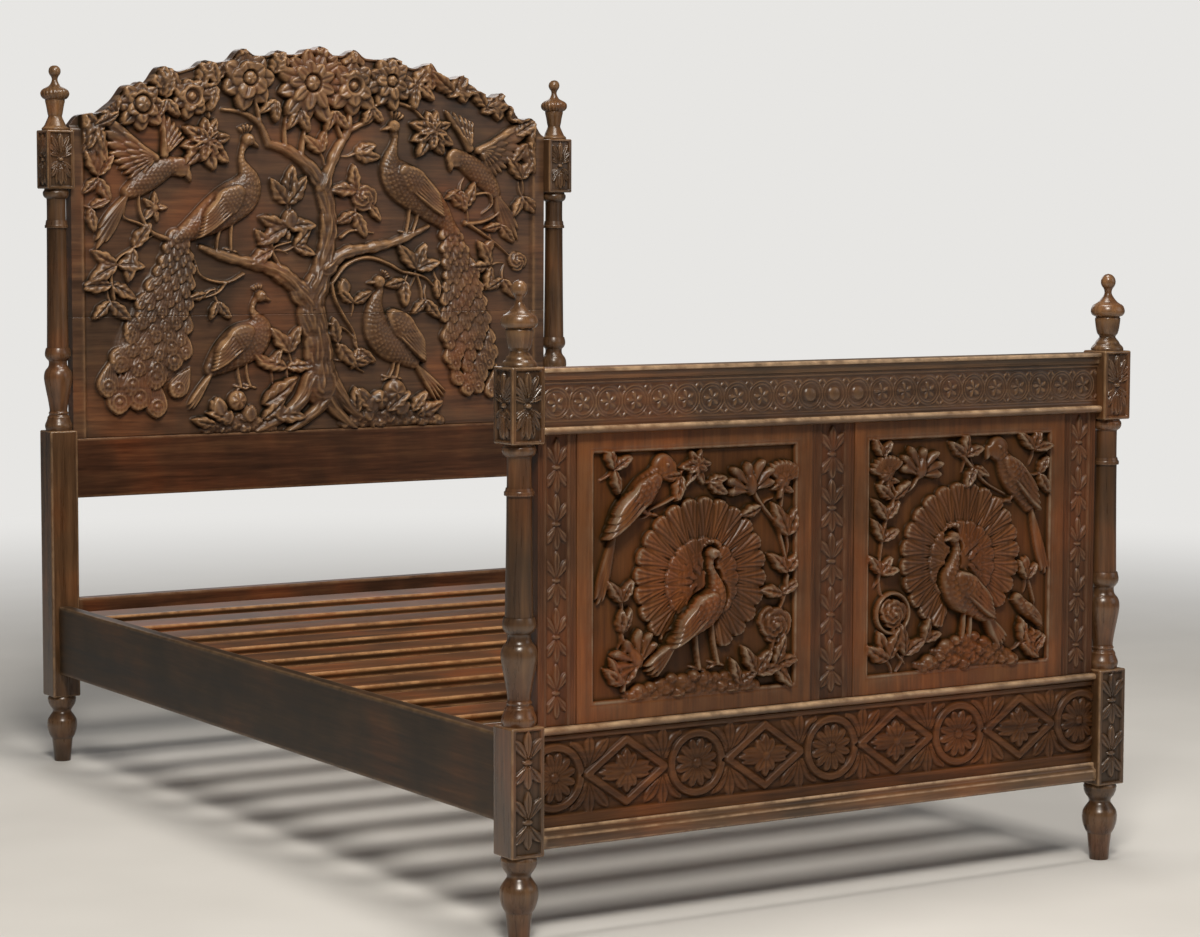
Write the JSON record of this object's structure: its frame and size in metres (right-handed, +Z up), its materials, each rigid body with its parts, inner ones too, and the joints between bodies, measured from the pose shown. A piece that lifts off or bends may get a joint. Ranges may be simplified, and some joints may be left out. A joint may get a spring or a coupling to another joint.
{
  "type": "carved bed",
  "caption": "Wooden bed with turned posts and finials, an arched headboard carved with a tree, birds and flowers, a carved panelled footboard, side rails and a slatted deck.",
  "frame": {"origin": "on the floor under the middle of the bed", "axes": "+X across the bed to the right seen from the foot, +Y along it towards the head, +Z up"},
  "size_m": [1.377, 2.117, 1.6392],
  "materials": {
    "post_walnut": "satin polish",
    "carved_walnut": "satin polish with dark recesses",
    "red_walnut": "satin polish",
    "slat_wood": "satin polish",
    "side_rail_wood": "dull satin",
    "bed_iron": "dark iron"
  },
  "bodies": {
    "root": {"foot_finial_left": "carved_walnut", "foot_finial_right": "carved_walnut", "foot_post_left": "post_walnut", "foot_post_right": "post_walnut", "footboard_base_moulding": "carved_walnut", "footboard_bead_moulding": "carved_walnut", "footboard_bottom_rail": "post_walnut", "footboard_cap_moulding": "carved_walnut", "footboard_ledge_moulding": "carved_walnut", "footboard_muntin": "red_walnut", "footboard_panel_left": "carved_walnut", "footboard_panel_right": "carved_walnut", "footboard_stile_left": "red_walnut", "footboard_stile_right": "red_walnut", "footboard_top_rail": "post_walnut", "head_finial_left": "carved_walnut", "head_finial_right": "carved_walnut", "head_post_left": "post_walnut", "head_post_right": "post_walnut", "head_rail": "red_walnut", "headboard_lower_board": "carved_walnut", "headboard_rail": "post_walnut", "headboard_upper_board": "carved_walnut", "hook_plate_foot_left": "bed_iron", "hook_plate_foot_right": "bed_iron", "hook_plate_head_left": "bed_iron", "hook_plate_head_right": "bed_iron", "side_rail_left": "side_rail_wood", "side_rail_right": "side_rail_wood", "slat_01": "slat_wood", "slat_02": "slat_wood", "slat_03": "slat_wood", "slat_04": "slat_wood", "slat_05": "slat_wood", "slat_06": "slat_wood", "slat_07": "slat_wood", "slat_08": "slat_wood", "slat_09": "slat_wood", "slat_10": "slat_wood", "slat_ledger_left": "side_rail_wood", "slat_ledger_right": "side_rail_wood", "slot_plate_foot_left": "bed_iron", "slot_plate_foot_right": "bed_iron", "slot_plate_head_left": "bed_iron", "slot_plate_head_right": "bed_iron"}
  },
  "joints": []
}
